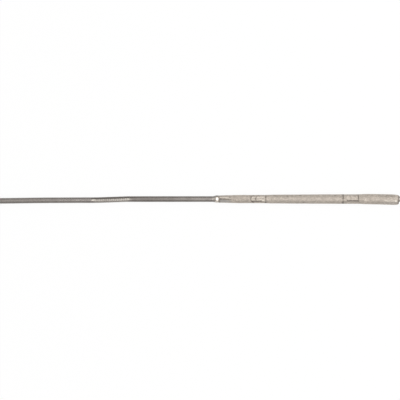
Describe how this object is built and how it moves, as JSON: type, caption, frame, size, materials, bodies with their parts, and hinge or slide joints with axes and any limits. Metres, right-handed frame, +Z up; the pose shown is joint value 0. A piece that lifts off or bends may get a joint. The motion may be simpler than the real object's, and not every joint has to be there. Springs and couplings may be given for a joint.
{
  "type": "inoculating loop",
  "caption": "Round wire loop held by a small collet chuck on a slim bent steel rod, with a crimped aluminium tube as the grip.",
  "frame": {"origin": "centre of the rod's flat tail end, behind the grip", "axes": "the handle lies along X with the loop towards -X; +Z is up, square to the level plane of the loop's eye and of the rod's bends"},
  "size_m": [0.2887, 0.0071, 0.0056],
  "materials": {
    "drawn_steel": "drawn, dulled by flaming",
    "swaged_aluminium": "matt, swaged, stained by handling",
    "bright_solder": "wiped and polished",
    "plated_brass": "satin nickel plate over brass",
    "pin_steel": "ground",
    "collet_brass": "turned",
    "nichrome_wire": "drawn, heat-tinted at the eye"
  },
  "bodies": {
    "holder": {"core_rod": "drawn_steel", "grip_sleeve": "swaged_aluminium", "solder_fillet": "bright_solder", "chuck_body": "plated_brass", "cross_pin": "pin_steel"},
    "collet": {"collet": "collet_brass"},
    "nut": {"clamp_nut": "plated_brass"},
    "wire": {"wire_loop": "nichrome_wire"}
  },
  "joints": [
    {"name": "collet_slide", "type": "slide", "parent": "holder", "child": "collet", "axis": [-0.9999, -0.0122, 0], "range_m": [0, 0.0015]},
    {"name": "nut_turn", "type": "hinge", "parent": "collet", "child": "nut", "pos_m": [-0.23344, -0.0012, 0], "axis": [-0.9999, -0.0122, 0], "range_deg": [0, 1080]},
    {"name": "wire_pull", "type": "slide", "parent": "collet", "child": "wire", "axis": [-0.9999, -0.0122, 0], "range_m": [0, 0.009]}
  ],
  "couplings": [
    {"joint": "nut_turn", "follows": "collet_slide", "rad_per_m": 12566}
  ]
}
